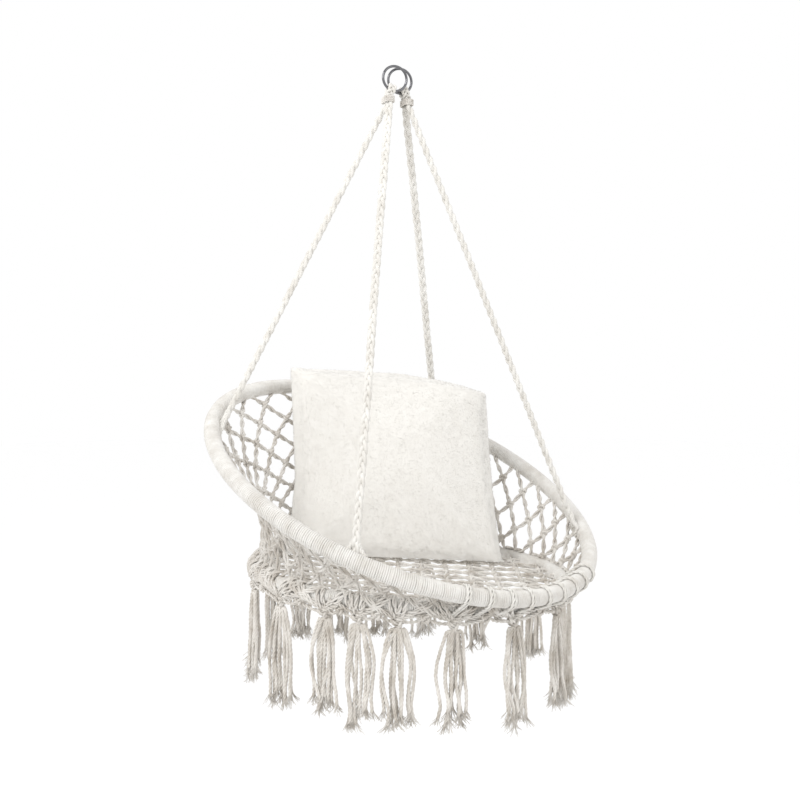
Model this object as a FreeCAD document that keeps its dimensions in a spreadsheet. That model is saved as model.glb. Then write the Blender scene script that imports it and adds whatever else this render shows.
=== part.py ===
"""Hanging nest chair: two cord-wrapped steel hoops, knotted nets, four braided
ropes on two steel rings, a fringe of tassels and a loose cushion.

Millimetres. +Z up, the chair's front faces -Y, +X is the sitter's left.
The origin is where a hook carries both steel rings, at the inside of their tops.
"""
import FreeCAD, Part
import math
import os
import Sketcher
from FreeCAD import Placement, Rotation, Vector

doc = FreeCAD.newDocument("HangingNestChair")

SIZES = {
    # steel rings, turned about the vertical and splayed by the pull of the ropes
    "ring_outside": 53.0,
    "ring_wire": 5.0,
    "ring_turn": 25.5,
    "ring_splay": 21.0,
    "ring_spacing": 14.0,
    # rope eyes on the rings, and the whippings that bind two ropes under each
    "eye_opening": 11.6,
    "eye_wall": 5.0,
    "eye_width": 12.0,
    "eye_neck": 8.0,
    "eye_rounding": 1.8,
    "head_ball": 12.0,
    "head_drop": 15.5,
    "cup_clearance": 0.5,
    "whipping_length": 11.0,
    "whipping_wall": 3.5,
    # braided ropes
    "rope_thickness": 15.0,
    "rope_clearance": 0.4,
    "rope_front_angle": 55.7,
    "rope_back_angle": 126.3,
    "hitch_cord": 8.0,
    # back hoop: the big one, which rises to the back
    "back_hoop_across": 768.0,
    "back_hoop_tilt": 28.6,
    "back_hoop_front": 356.5,
    "hang_height": 982.4,
    "back_tube": 19.0,
    "back_foam": 2.0,
    # seat hoop: the small one, lashed under the back hoop's front
    "seat_hoop_across": 588.0,
    "seat_hoop_tilt": 4.56,
    "hoop_gap": 0.563,
    "seat_hoop_below": 22.054,
    "seat_tube": 16.0,
    "seat_foam": 1.5,
    # shared by both hoops
    "tube_wall": 1.2,
    "wrap_cord": 4.0,
    "layer_gap": 0.05,
    "lay_gap": 0.3,
    # nets
    "net_thickness": 5.0,
    "net_waist": 56.0,
    "net_front_gap": 40.0,
    "lashing_turns": 9.0,
    "lashing_spread": 52.0,
    "lashing_cord": 4.0,
    # tassels
    "tassel_outset": 8.0,
    "tassel_length": 172.0,
    "tassel_unevenness": 0.05,
    "tassel_top": 18.0,
    "tassel_bottom": 36.0,
    "tassel_clearance": 0.5,
    "knot_across": 24.0,
    "knot_height": 16.0,
    "knot_drop": 5.0,
    # cushion
    "cushion_width": 425.0,
    "cushion_height": 395.0,
    "cushion_thickness": 130.0,
    "cushion_edge": 36.0,
    "cushion_yaw": -40.0,
    "cushion_lean": 20.0,
    "cushion_right": 51.0,
    "cushion_back": 80.0,
    "cushion_rest_gap": 1.0,
    "cover_wall": 3.0,
    "lining_wall": 3.0,
    "cover_gap": 0.3,
    "zip_length": 340.0,
    "zip_width": 8.0,
    "zip_depth": 1.5,
}

sheet = doc.addObject("Spreadsheet::Sheet", "Sizes")
for row, (name, value) in enumerate(SIZES.items(), start=1):
    sheet.set("A%d" % row, name)
    sheet.set("B%d" % row, str(value))
    sheet.setAlias("B%d" % row, name)
doc.recompute()


def size(name):
    """A driving dimension, read from the sheet."""
    return float(getattr(sheet, name))


def bind(item, **expressions):
    """Bind an object's properties to the sheet: each word is a cell or a sum of cells."""
    for prop, expression in expressions.items():
        item.setExpression(prop, expression)
    return item


def add(kind, name, place=None, **expressions):
    """A primitive or boolean of the document, with bound sizes."""
    item = doc.addObject(kind, name)
    bind(item, **expressions)
    if place is not None:
        item.Placement = place
    return item


def cut(name, base, tool, place=None):
    item = doc.addObject("Part::Cut", name)
    item.Base = base
    item.Tool = tool
    if place is not None:
        item.Placement = place
    return item


def fuse(name, shapes, place=None):
    item = doc.addObject("Part::MultiFuse", name)
    item.Shapes = shapes
    if place is not None:
        item.Placement = place
    return item


def group(name, links):
    item = doc.addObject("Part::Compound", name)
    item.Links = links
    return item


finished = {}


def finish(node, item):
    """Give a sub-part its own Label, which also names its file."""
    item.Label = node
    finished[node] = item
    return item


# ---------------------------------------------------------------- shared layout
SIDES = {"left": 1, "right": -1}
UP = Vector(0, 0, 1)


def tilted(angle):
    """The slope direction of a hoop's plane, from its front towards its back."""
    return Vector(0, math.cos(math.radians(angle)), math.sin(math.radians(angle)))


def wrapped_radius(kind):
    """Half a hoop's thickness over its tube, foam and cord wrap."""
    return size(kind + "_tube") / 2 + size(kind + "_foam") + size("wrap_cord")


class Hoop:
    """Where a hoop lies, and how thick it is over its cord wrap."""

    def __init__(self, kind, front):
        self.radius = size(kind + "_hoop_across") / 2
        self.tilt = size(kind + "_hoop_tilt")
        self.wrap_radius = wrapped_radius(kind)
        self.slope = tilted(self.tilt)
        self.front = front
        self.centre = front + self.slope * self.radius
        self.place = Placement(self.centre, Rotation(Vector(1, 0, 0), self.tilt))

    def point(self, angle, radius=None):
        """A point on the centreline, at an angle from the front, positive towards +X."""
        reach = self.radius if radius is None else radius
        turn = math.radians(angle)
        sideways = Vector(1, 0, 0) * (reach * math.sin(turn))
        return self.centre + sideways - self.slope * (reach * math.cos(turn))

    def tangent(self, angle):
        turn = math.radians(angle)
        return Vector(1, 0, 0) * math.cos(turn) + self.slope * math.sin(turn)


back_front = Vector(0, -size("back_hoop_front"), -size("hang_height"))
# At the front the seat hoop lies behind and a little below the big one, hoop_gap clear of its wrap.
hoops_apart = wrapped_radius("back") + wrapped_radius("seat") + size("hoop_gap")
seat_front = back_front + tilted(-size("seat_hoop_below")) * hoops_apart
back = Hoop("back", back_front)
seat = Hoop("seat", seat_front)


class Head:
    """One steel ring and the rope head under it. side is +1 for +X and -1 for -X."""

    def __init__(self, side):
        turn = math.radians(-size("ring_turn"))
        splay = math.radians(size("ring_splay"))
        self.normal = Vector(-math.sin(turn), math.cos(turn), 0)
        self.across = Vector(math.cos(turn), math.sin(turn), 0)
        self.down = self.across * (side * math.sin(splay)) - UP * math.cos(splay)
        radius = (size("ring_outside") - size("ring_wire")) / 2
        hook = self.normal * (side * size("ring_spacing") / 2)
        self.ring_centre = hook + self.down * (radius - size("ring_wire") / 2)
        self.wire = self.ring_centre + self.down * radius
        self.ball = self.wire + self.down * size("head_drop")
        axis_up = self.down * -1
        axis_along = self.normal.cross(axis_up)
        pulled = Rotation(axis_along, self.normal, axis_up, "ZXY")
        upright = Rotation(self.normal.cross(UP), self.normal, UP, "ZXY")
        self.ring_place = Placement(self.ring_centre, Rotation(UP, self.normal))
        self.eye_place = Placement(self.wire, pulled)
        self.ball_place = Placement(self.ball, upright)


heads = {name: Head(side) for name, side in SIDES.items()}


# ---------------------------------------------------------------- steel rings
def steel_ring(name):
    """A welded ring of round wire, hung on the hook."""
    item = add(
        "Part::Torus",
        "Ring_" + name,
        heads[name].ring_place,
        Radius1="(Sizes.ring_outside - Sizes.ring_wire) / 2",
        Radius2="Sizes.ring_wire / 2",
    )
    return finish("steel_ring_" + name, item)


# ---------------------------------------------------------------- rope heads
def rope_eye(name):
    """The bight of braid over the ring's wire, and the ball where its legs are bound.

    Local X runs along the wire, Z points up. The ball turns in the whipping's cup.
    """
    lie_along = Placement(Vector(-size("eye_width") / 2, 0, 0), Rotation(Vector(0, 1, 0), 90))
    outer = add(
        "Part::Cylinder",
        "EyeOuter_" + name,
        lie_along,
        Radius="Sizes.eye_opening / 2 + Sizes.eye_wall",
        Height="Sizes.eye_width",
    )
    opening = add(
        "Part::Cylinder",
        "EyeOpening_" + name,
        lie_along,
        Radius="Sizes.eye_opening / 2",
        Height="Sizes.eye_width",
    )
    band = cut("EyeBand_" + name, outer, opening)
    doc.recompute()
    soft = doc.addObject("Part::Fillet", "EyeSoft_" + name)
    soft.Base = band
    rounding = size("eye_rounding")
    rims = []
    for number, edge in enumerate(band.Shape.Edges, start=1):
        if edge.Curve.TypeId == "Part::GeomCircle":
            rims.append((number, rounding, rounding))
    soft.Edges = rims
    neck_top = size("eye_opening") / 2 + size("eye_wall") / 2
    neck = add(
        "Part::Cylinder",
        "EyeNeck_" + name,
        Placement(Vector(0, 0, -size("head_drop")), Rotation()),
        Radius="Sizes.eye_neck / 2",
    )
    neck.Height = size("head_drop") - neck_top
    ball = add(
        "Part::Sphere",
        "EyeBall_" + name,
        Placement(Vector(0, 0, -size("head_drop")), Rotation()),
        Radius="Sizes.head_ball / 2",
    )
    item = fuse("Eye_" + name, [soft, neck, ball], heads[name].eye_place)
    return finish("rope_eye_" + name, item)


def body_with_sketch(name, plane):
    """A new body and a sketch on one of its own origin planes."""
    body = doc.addObject("PartDesign::Body", name)
    sketch = body.newObject("Sketcher::SketchObject", name + "_Sketch")
    origin_plane = [f for f in body.Origin.OriginFeatures if f.Role == plane][0]
    sketch.AttachmentSupport = [(origin_plane, "")]
    sketch.MapMode = "FlatFace"
    return body, sketch


def dimension(sketch, kind, *where, value, expression):
    """A driving constraint whose value is bound to the sheet."""
    number = sketch.addConstraint(Sketcher.Constraint(kind, *where, value))
    sketch.setExpression("Constraints[%d]" % number, expression)


def rope_whipping(name):
    """Cord bound round the two ropes under an eye, with the cup that the ball turns in.

    The ball's centre is the local origin; the cup opens upwards.
    """
    body, sketch = body_with_sketch("WhippingBody_" + name, "XY_Plane")
    radius = size("rope_thickness") / 2 + size("whipping_wall")
    half = (size("rope_thickness") + size("rope_clearance")) / 2
    sketch.addGeometry(
        [
            Part.ArcOfCircle(Part.Circle(Vector(0, half, 0), UP, radius), 0, math.pi),
            Part.ArcOfCircle(Part.Circle(Vector(0, -half, 0), UP, radius), math.pi, 2 * math.pi),
            Part.LineSegment(Vector(-radius, half, 0), Vector(-radius, -half, 0)),
            Part.LineSegment(Vector(radius, -half, 0), Vector(radius, half, 0)),
        ],
        False,
    )
    for first, end, second, start in ((0, 2, 2, 1), (2, 2, 1, 1), (1, 2, 3, 1), (3, 2, 0, 1)):
        sketch.addConstraint(Sketcher.Constraint("Tangent", first, end, second, start))
    sketch.addConstraint(Sketcher.Constraint("Vertical", 2))
    sketch.addConstraint(Sketcher.Constraint("PointOnObject", 0, 3, -2))
    half_word = "(Sizes.rope_thickness + Sizes.rope_clearance) / 2"
    around_rope = "Sizes.rope_thickness / 2 + Sizes.whipping_wall"
    dimension(sketch, "Radius", 0, value=radius, expression=around_rope)
    dimension(sketch, "DistanceY", -1, 1, 0, 3, value=half, expression=half_word)
    dimension(sketch, "DistanceY", 1, 3, -1, 1, value=half, expression=half_word)
    pad = body.newObject("PartDesign::Pad", "WhippingPad_" + name)
    pad.Profile = sketch
    pad.Reversed = True
    bind(pad, Length="Sizes.whipping_length")
    cup = add("Part::Sphere", "WhippingCup_" + name, Radius="Sizes.head_ball / 2 + Sizes.cup_clearance")
    item = cut("Whipping_" + name, body, cup, heads[name].ball_place)
    return finish("rope_whipping_" + name, item)


# ---------------------------------------------------------------- hoops
def hoop_layer(node, kind, hoop, outer, inner):
    """A tube, foam sleeve or cord wrap: a ring section turned about the hoop's axis."""
    body, sketch = body_with_sketch(node + "_body", "XZ_Plane")
    for number in (0, 1):
        sketch.addGeometry(Part.Circle(Vector(hoop.radius, 0, 0), UP, 10 - 4 * number), False)
        sketch.addConstraint(Sketcher.Constraint("PointOnObject", number, 3, -1))
        dimension(
            sketch,
            "DistanceX",
            -1,
            1,
            number,
            3,
            value=hoop.radius,
            expression="Sizes.%s_hoop_across / 2" % kind,
        )
    dimension(sketch, "Radius", 0, value=10, expression=outer)
    dimension(sketch, "Radius", 1, value=6, expression=inner)
    turned = body.newObject("PartDesign::Revolution", node + "_turned")
    turned.Profile = sketch
    turned.ReferenceAxis = (sketch, ["V_Axis"])
    turned.Angle = 360
    body.Placement = hoop.place
    return finish(node, body)


def hoop_layers(kind, hoop):
    tube = "Sizes.%s_tube / 2" % kind
    foam = "(%s + Sizes.%s_foam)" % (tube, kind)
    wrap = "(%s + Sizes.wrap_cord)" % foam
    gap = " + Sizes.layer_gap"
    hoop_layer(kind + "_hoop_tube", kind, hoop, tube, tube + " - Sizes.tube_wall")
    hoop_layer(kind + "_hoop_foam", kind, hoop, foam, tube + gap)
    hoop_layer(kind + "_hoop_wrap", kind, hoop, wrap, foam + gap)


def clear_of_hoop(name, kind, hoop, extra="0"):
    """The space that a wrapped hoop needs, for cutting what lies against it."""
    wrapped = "Sizes.%s_tube / 2 + Sizes.%s_foam + Sizes.wrap_cord" % (kind, kind)
    radius = "%s + Sizes.lay_gap + %s" % (wrapped, extra)
    across = "Sizes.%s_hoop_across / 2" % kind
    return add("Part::Torus", name, hoop.place, Radius1=across, Radius2=radius)


# ---------------------------------------------------------------- ropes
ROPES = {
    "front_left": ("left", -1, "rope_front_angle"),
    "front_right": ("right", -1, "rope_front_angle"),
    "back_left": ("left", 1, "rope_back_angle"),
    "back_right": ("right", 1, "rope_back_angle"),
}


def rope_hitch(corner):
    """Two turns of the rope's tail round the back hoop."""
    side_name, _, angle_name = ROPES[corner]
    angle = SIDES[side_name] * size(angle_name)
    along = Rotation(UP, back.tangent(angle))
    wrapped = "Sizes.back_tube / 2 + Sizes.back_foam + Sizes.wrap_cord"
    turns = []
    for number in (-1, 1):
        shift = back.tangent(angle) * (number * (size("hitch_cord") / 2 + size("layer_gap")))
        turn = add(
            "Part::Torus",
            "HitchTurn_%s_%d" % (corner, (number + 1) // 2),
            Placement(back.point(angle) + shift, along),
            Radius1=wrapped + " + Sizes.lay_gap + Sizes.hitch_cord / 2",
            Radius2="Sizes.hitch_cord / 2",
        )
        turns.append(turn)
    return finish("rope_hitch_" + corner, group("Hitch_" + corner, turns))


def rope(corner, whipping, hitch, hitch_space):
    """A taut braided rope, straight from its whipping to its hitch on the hoop's inner side."""
    side_name, lane, angle_name = ROPES[corner]
    head = heads[side_name]
    half = (size("rope_thickness") + size("rope_clearance")) / 2
    start = head.ball_place.multVec(Vector(0, lane * half, -size("whipping_length")))
    end = back.point(SIDES[side_name] * size(angle_name), back.radius - back.wrap_radius)
    run = (end - start).normalize()
    overlap = size("whipping_length") / 4
    start = start - run * overlap
    straight = add(
        "Part::Cylinder",
        "RopeRun_" + corner,
        Placement(start, Rotation(UP, run)),
        Radius="Sizes.rope_thickness / 2",
    )
    straight.Height = (end - start).Length
    tools = group("RopeEnds_" + corner, [whipping, hitch, hitch_space])
    return finish("rope_" + corner, cut("Rope_" + corner, straight, tools))


# ---------------------------------------------------------------- nets
NET_STEPS = 4


def net_section(name, share, thicker):
    """A round section of the back net, a share of the way from the back hoop to the seat hoop.

    Taut cords that cross aslant draw the net in between the hoops: most at the tall
    back, and not at all at the front, where the hoops meet.
    """
    pull = size("net_waist") * 4 * share * (1 - share)
    slope = back.slope * (back.radius * (1 - share)) + seat.slope * (seat.radius * share)
    tilt = math.degrees(math.atan2(slope.z, slope.y))
    slope.normalize()
    centre = back.centre * (1 - share) + seat.centre * share - slope * (pull / 2)
    rim = add("Part::Circle", name, Placement(centre, Rotation(Vector(1, 0, 0), tilt)))
    words = "Sizes.back_hoop_across / 2 * %s + Sizes.seat_hoop_across / 2 * %s" % (1 - share, share)
    words += " - Sizes.net_waist * %s %s Sizes.net_thickness / 2" % (2 * share * (1 - share), thicker)
    return bind(rim, Radius=words)


def net_loft(name, thicker):
    """A solid through the net's sections, from the back hoop down to the seat hoop."""
    loft = doc.addObject("Part::Loft", name)
    loft.Sections = [
        net_section("%s_%d" % (name, number), number / NET_STEPS, thicker)
        for number in range(NET_STEPS + 1)
    ]
    loft.Solid = True
    loft.Ruled = True
    return loft


def back_net(hoop_spaces):
    """The knotted net from the back hoop down to the seat hoop, open at the lashed front."""
    wall = cut("NetWall", net_loft("NetOuter", "+"), net_loft("NetInner", "-"))
    turn = Rotation(UP, -90 - size("net_front_gap"))
    low = Vector(0, seat.centre.y, seat.centre.z - seat.radius)
    front = add(
        "Part::Cylinder",
        "NetFront",
        Placement(low, turn),
        Radius="Sizes.back_hoop_across",
        Height="Sizes.back_hoop_across",
        Angle="2 * Sizes.net_front_gap",
    )
    tools = group("NetCuts", hoop_spaces + [front])
    return finish("back_net", cut("BackNet", wall, tools))


def seat_net(lashing_turns):
    """The flat knotted net that fills the seat hoop, let out round the lashing."""
    drop = Vector(0, 0, -size("net_thickness") / 2)
    place = seat.place.multiply(Placement(drop, Rotation()))
    inner_rim = "Sizes.seat_hoop_across / 2 - Sizes.seat_tube / 2 - Sizes.seat_foam"
    rim = inner_rim + " - Sizes.wrap_cord - Sizes.lay_gap"
    disc = add("Part::Cylinder", "SeatDisc", place, Radius=rim, Height="Sizes.net_thickness")
    return finish("seat_net", cut("SeatNet", disc, lashing_turns))


def belt(first, second, first_radius, second_radius, along, width):
    """A flat-sided solid round two circles, which lies across the direction along."""
    line = second - first
    distance = line.Length
    ahead = line * (1 / distance)
    side = along.cross(ahead)
    lean = math.asin((first_radius - second_radius) / distance)
    corners = []
    for sign, centre, radius in ((1, first, first_radius), (1, second, second_radius),
                                 (-1, second, second_radius), (-1, first, first_radius)):
        corners.append(centre + (ahead * math.sin(lean) + side * (sign * math.cos(lean))) * radius)
    shift = along * (-width / 2)
    web = Part.Face(Part.makePolygon([c + shift for c in corners] + [corners[0] + shift]))
    solid = web.extrude(along * width)
    for centre, radius in ((first, first_radius), (second, second_radius)):
        solid = solid.fuse(Part.makeCylinder(radius, width, centre + shift, along))
    return solid.removeSplitter()


def front_lashing():
    """Turns of cord round both hoops, where the back hoop rests on the seat hoop."""
    turns = int(size("lashing_turns"))
    cord = size("lashing_cord")
    loops = []
    for number in range(turns):
        angle = size("lashing_spread") * (number / (turns - 1) - 0.5)
        first = back.point(angle)
        along = back.tangent(angle)
        # the seat hoop's point in the plane across the back hoop
        seat_angle = math.degrees(math.asin(first.x / seat.radius))
        for _ in range(8):
            miss = (seat.point(seat_angle) - first).dot(along)
            seat_angle -= math.degrees(miss / (seat.radius * seat.tangent(seat_angle).dot(along)))
        second = seat.point(seat_angle)
        inner = [back.wrap_radius + size("lay_gap"), seat.wrap_radius + size("lay_gap")]
        # the seat hoop crosses this plane a little aslant
        inner[1] += cord * math.tan(math.acos(min(1.0, seat.tangent(seat_angle).dot(along)))) / 2
        hollow = belt(first, second, inner[0], inner[1], along, cord * 2)
        loops.append(belt(first, second, inner[0] + cord, inner[1] + cord, along, cord).cut(hollow))
    item = doc.addObject("Part::Feature", "FrontLashing")
    item.Shape = Part.makeCompound(loops)
    item.Placement = Placement()
    return finish("front_lashing", item)


# ---------------------------------------------------------------- tassels
# Where they hang round the seat hoop, in degrees from the front: tied by eye, unevenly.
TASSEL_ANGLES = (-95, -75, -63, -50, -32, -10, 15, 36, 54, 78, 106, 129, 148, 165, 183, 202, 220, 240)


def knot_centre(angle):
    reach = seat.radius + size("tassel_outset")
    drop = seat.wrap_radius + size("lay_gap") + size("knot_drop") + size("knot_height") / 2
    return seat.point(angle, reach) - UP * drop


def tassel_knots():
    """The gathering knots under the seat hoop, one over each tassel."""
    knots = []
    for number, angle in enumerate(TASSEL_ANGLES, start=1):
        knot = add(
            "Part::Ellipsoid",
            "Knot_%02d" % number,
            Placement(knot_centre(angle), Rotation()),
            Radius1="Sizes.knot_height / 2",
            Radius2="Sizes.knot_across / 2",
            Radius3="Sizes.knot_across / 2",
        )
        knots.append(knot)
    return finish("tassel_knots", group("Knots", knots))


def tassel(number, angle):
    """A hanging bundle of cords. Its round top is centred on the point it swings about."""
    node = "tassel_%02d" % number
    body, sketch = body_with_sketch("Tassel_%02d" % number, "XZ_Plane")
    top = size("tassel_top") / 2
    bottom = size("tassel_bottom") / 2
    share = 1 + size("tassel_unevenness") * math.sin(2.4 * number)
    length = size("tassel_length") * share
    sketch.addGeometry(
        [
            Part.ArcOfCircle(Part.Circle(Vector(0, 0, 0), UP, top), 0, math.pi / 2),
            Part.LineSegment(Vector(0, top, 0), Vector(0, -length, 0)),
            Part.LineSegment(Vector(0, -length, 0), Vector(bottom, -length, 0)),
            Part.LineSegment(Vector(bottom, -length, 0), Vector(top, 0, 0)),
        ],
        False,
    )
    for first, end, second, start in ((0, 2, 1, 1), (1, 2, 2, 1), (2, 2, 3, 1), (3, 2, 0, 1)):
        sketch.addConstraint(Sketcher.Constraint("Coincident", first, end, second, start))
    sketch.addConstraint(Sketcher.Constraint("Coincident", 0, 3, -1, 1))
    sketch.addConstraint(Sketcher.Constraint("Vertical", 1))
    sketch.addConstraint(Sketcher.Constraint("Horizontal", 2))
    sketch.addConstraint(Sketcher.Constraint("PointOnObject", 0, 1, -1))
    sketch.addConstraint(Sketcher.Constraint("PointOnObject", 0, 2, -2))
    dimension(sketch, "Radius", 0, value=top, expression="Sizes.tassel_top / 2")
    dimension(sketch, "DistanceX", 2, 1, 2, 2, value=bottom, expression="Sizes.tassel_bottom / 2")
    uneven = "Sizes.tassel_length * (1 + Sizes.tassel_unevenness * %.6f)" % math.sin(2.4 * number)
    dimension(sketch, "DistanceY", 1, 2, -1, 1, value=length, expression=uneven)
    turned = body.newObject("PartDesign::Revolution", "TasselTurned_%02d" % number)
    turned.Profile = sketch
    turned.ReferenceAxis = (sketch, ["V_Axis"])
    turned.Angle = 360
    drop = size("knot_height") / 2 + size("tassel_clearance") + top
    body.Placement = Placement(knot_centre(angle) - UP * drop, Rotation())
    return finish(node, body)


# ---------------------------------------------------------------- cushion
def cushion_place():
    """The cushion's middle. Its foot stands just clear of the seat net, and it leans back."""
    lean = math.radians(size("cushion_lean"))
    rise = size("net_thickness") / 2 + size("cushion_rest_gap")
    rise += size("cushion_height") / 2 * math.cos(lean) + size("cushion_edge") / 2 * math.sin(lean)
    faced = Rotation(UP, size("cushion_yaw"))
    behind = faced.multVec(Vector(0, 1, 0)) * (size("cushion_height") / 2 * math.sin(lean))
    middle = Vector(size("cushion_right"), size("cushion_back"), rise) + behind
    leaned = faced.multiply(Rotation(Vector(1, 0, 0), -size("cushion_lean")))
    return seat.place.multiply(Placement(middle, leaned))


def bulged_slab(name, long_side, other_side, inset):
    """A slab with two bulged faces and flat sides: one of the two that make a cushion."""
    body, sketch = body_with_sketch(name, "XY_Plane")
    half = size(long_side) / 2
    thick = size("cushion_thickness") / 2
    edge = size("cushion_edge") / 2
    upper = [Vector(half, edge, 0), Vector(-half, edge, 0)]
    corners = upper + [Vector(-half, -edge, 0), Vector(half, -edge, 0)]
    sketch.addGeometry(
        [
            Part.Arc(corners[0], Vector(0, thick, 0), corners[1]),
            Part.LineSegment(corners[1], corners[2]),
            Part.Arc(corners[2], Vector(0, -thick, 0), corners[3]),
            Part.LineSegment(corners[3], corners[0]),
        ],
        False,
    )
    for first, end, second, start in ((0, 2, 1, 1), (1, 2, 2, 1), (2, 2, 3, 1), (3, 2, 0, 1)):
        sketch.addConstraint(Sketcher.Constraint("Coincident", first, end, second, start))
    sketch.addConstraint(Sketcher.Constraint("Symmetric", 0, 1, 0, 2, -2))
    sketch.addConstraint(Sketcher.Constraint("Symmetric", 1, 1, 1, 2, -1))
    sketch.addConstraint(Sketcher.Constraint("Vertical", 3))
    span_word = "(Sizes.%s - 2 * (%s))" % (long_side, inset)
    rise_word = "((Sizes.cushion_thickness - Sizes.cushion_edge) / 2)"
    arc_word = "((%s / 2) ^ 2 + %s ^ 2) / (2 * %s)" % (span_word, rise_word, rise_word)
    dimension(sketch, "DistanceX", 0, 2, 0, 1, value=2 * half, expression=span_word)
    edge_word = "Sizes.cushion_edge - 2 * (%s)" % inset
    dimension(sketch, "DistanceY", 1, 2, 1, 1, value=2 * edge, expression=edge_word)
    radius = (half ** 2 + (thick - edge) ** 2) / (2 * (thick - edge))
    for arc in (0, 2):
        dimension(sketch, "Radius", arc, value=radius, expression=arc_word)
    pad = body.newObject("PartDesign::Pad", name + "_Pad")
    pad.Profile = sketch
    pad.Midplane = True
    bind(pad, Length="Sizes.%s - 2 * (%s)" % (other_side, inset))
    return body


def cushion_solid(name, inset):
    """The cushion's shape, made smaller all round by the inset.

    It is what a slab bulged across and one bulged upwards have in common.
    """
    wide = bulged_slab(name + "_Wide", "cushion_width", "cushion_height", inset)
    high = bulged_slab(name + "_High", "cushion_height", "cushion_width", inset)
    high.Placement = Placement(Vector(), Rotation(Vector(0, 1, 0), 90))
    both = doc.addObject("Part::MultiCommon", name)
    both.Shapes = [wide, high]
    return both


def zip_box(name, gap):
    """The zip's tape, let into the cover's bottom side, or the room for it."""
    place = Placement(
        Vector(
            -size("zip_length") / 2 - gap,
            -size("zip_width") / 2 - gap,
            -size("cushion_height") / 2,
        ),
        Rotation(),
    )
    box = add("Part::Box", name, place)
    box.Length = size("zip_length") + 2 * gap
    box.Width = size("zip_width") + 2 * gap
    box.Height = size("zip_depth") + gap
    return box


def cushion():
    """A zipped cover, and the insert inside it: a bag, whose loose fibre filling is mostly air."""
    place = cushion_place()
    outside = cushion_solid("CushionOutside", "0")
    inside = cushion_solid("CushionInside", "Sizes.cover_wall")
    room = group("CoverRoom", [inside, zip_box("ZipRoom", size("layer_gap"))])
    finish("cushion_cover", cut("Cover", outside, room, place))
    lining = cushion_solid("LiningOutside", "Sizes.cover_wall + Sizes.cover_gap")
    filling = cushion_solid("Filling", "Sizes.cover_wall + Sizes.cover_gap + Sizes.lining_wall")
    finish("cushion_insert", cut("Lining", lining, filling, place))
    tape = zip_box("Zip", 0)
    bind(tape, Length="Sizes.zip_length", Width="Sizes.zip_width", Height="Sizes.zip_depth")
    tape.Placement = place.multiply(tape.Placement)
    finish("cushion_zip", tape)


# ---------------------------------------------------------------- the whole chair
for head_name in SIDES:
    steel_ring(head_name)
    rope_eye(head_name)
whippings = {head_name: rope_whipping(head_name) for head_name in SIDES}
hoop_layers("back", back)
hoop_layers("seat", seat)
back_space = clear_of_hoop("BackHoopSpace", "back", back)
seat_space = clear_of_hoop("SeatHoopSpace", "seat", seat)
hitch_space = clear_of_hoop("HitchSpace", "back", back, "Sizes.hitch_cord / 2")
hitches = []
for corner_name in ROPES:
    hitch_turns = rope_hitch(corner_name)
    hitches.append(hitch_turns)
    rope(corner_name, whippings[ROPES[corner_name][0]], hitch_turns, hitch_space)
lashing = front_lashing()
back_net([back_space, seat_space] + hitches)
seat_net(lashing)
tassel_knots()
for tassel_number, tassel_angle in enumerate(TASSEL_ANGLES, start=1):
    tassel(tassel_number, tassel_angle)
cushion()
doc.recompute()

# ---------------------------------------------------------------- checks and files
for item in doc.Objects:
    faults = [state for state in item.State if state in ("Invalid", "Error")]
    if faults:
        raise RuntimeError("%s failed: %s" % (item.Label, item.State))
for node, item in finished.items():
    if item.Shape.isNull() or not item.Shape.isValid() or not item.Shape.Solids:
        raise RuntimeError("%s has no valid solid" % node)

os.makedirs("parts", exist_ok=True)
for node, item in finished.items():
    item.Shape.exportStep("parts/%s.step" % node)
    print("%-26s %2d solids %12.1f mm3" % (node, len(item.Shape.Solids), item.Shape.Volume))
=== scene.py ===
import math

import bmesh
import bpy
import numpy as np
from mathutils import Matrix, Vector, noise


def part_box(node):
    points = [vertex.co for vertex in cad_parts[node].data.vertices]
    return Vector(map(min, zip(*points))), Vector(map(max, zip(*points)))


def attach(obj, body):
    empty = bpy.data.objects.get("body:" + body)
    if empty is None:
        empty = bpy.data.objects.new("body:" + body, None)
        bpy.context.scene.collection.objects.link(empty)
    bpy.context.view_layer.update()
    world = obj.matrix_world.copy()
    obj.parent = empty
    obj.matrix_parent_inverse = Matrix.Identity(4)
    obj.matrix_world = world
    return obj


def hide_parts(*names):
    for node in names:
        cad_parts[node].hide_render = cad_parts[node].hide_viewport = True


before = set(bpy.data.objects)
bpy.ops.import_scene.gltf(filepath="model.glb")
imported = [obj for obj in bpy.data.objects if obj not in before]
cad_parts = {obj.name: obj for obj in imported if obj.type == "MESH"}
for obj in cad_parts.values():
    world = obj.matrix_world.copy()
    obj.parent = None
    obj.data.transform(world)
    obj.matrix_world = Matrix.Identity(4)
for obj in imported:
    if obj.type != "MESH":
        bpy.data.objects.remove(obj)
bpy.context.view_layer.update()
SIDE, UP = Vector((1, 0, 0)), Vector((0, 0, 1))


# ---- The two rings. Bent from 5 mm steel wire, butt welded and polished, they go over the hook
# side by side and lean apart a little. Their wire is worn dull where the ropes rub.
def node(tree, kind, inputs=None, **settings):
    made = tree.nodes.new(kind)
    for name, value in settings.items():
        setattr(made, name, value)
    for name, value in (inputs or {}).items():
        if isinstance(value, bpy.types.NodeSocket):
            tree.links.new(value, made.inputs[name])
        else:
            made.inputs[name].default_value = value
    return made


def new_finish(name):
    finish = bpy.data.materials.new(name)
    finish.use_nodes = True
    tree = finish.node_tree
    shader = tree.nodes["Principled BSDF"]
    place = node(tree, "ShaderNodeTexCoord").outputs["Object"]
    return finish, tree, shader, place


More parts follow.
